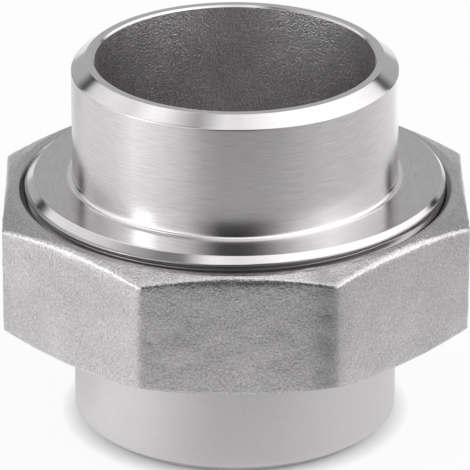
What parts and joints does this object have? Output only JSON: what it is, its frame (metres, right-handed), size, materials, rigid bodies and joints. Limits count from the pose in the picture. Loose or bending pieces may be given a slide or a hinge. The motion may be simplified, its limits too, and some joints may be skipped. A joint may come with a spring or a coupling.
{
  "type": "butt-weld pipe union",
  "caption": "Stainless steel butt-weld pipe union: a weld nipple and a threaded weld body with a conical seat, drawn together by an octagonal union nut.",
  "frame": {"origin": "middle of the weld nipple's lower end face, the plane that the union stands on", "axes": "+Z along the pipe axis, up through the nipple, the nut and the threaded body; -Y square to one flat of the nut"},
  "size_m": [0.0856, 0.0856, 0.0711],
  "materials": {
    "turned_steel": "turned satin stainless",
    "cast_steel": "investment cast and blasted stainless, grainy",
    "nipple_steel": "turned and blasted matt stainless"
  },
  "bodies": {
    "nipple": {"weld_nipple": "nipple_steel"},
    "nut": {"union_nut": "cast_steel"},
    "body": {"threaded_body": "turned_steel"}
  },
  "joints": [
    {"name": "nut_turn", "type": "hinge", "parent": "nipple", "child": "nut", "pos_m": [0, 0, 0.0341], "axis": [0, 0, -1], "range_deg": [0, 2160]},
    {"name": "body_rise", "type": "slide", "parent": "nipple", "child": "body", "axis": [0, 0, 1], "range_m": [0, 0.012]}
  ],
  "couplings": [
    {"joint": "body_rise", "follows": "nut_turn", "m_per_rad": 0.00031831}
  ]
}
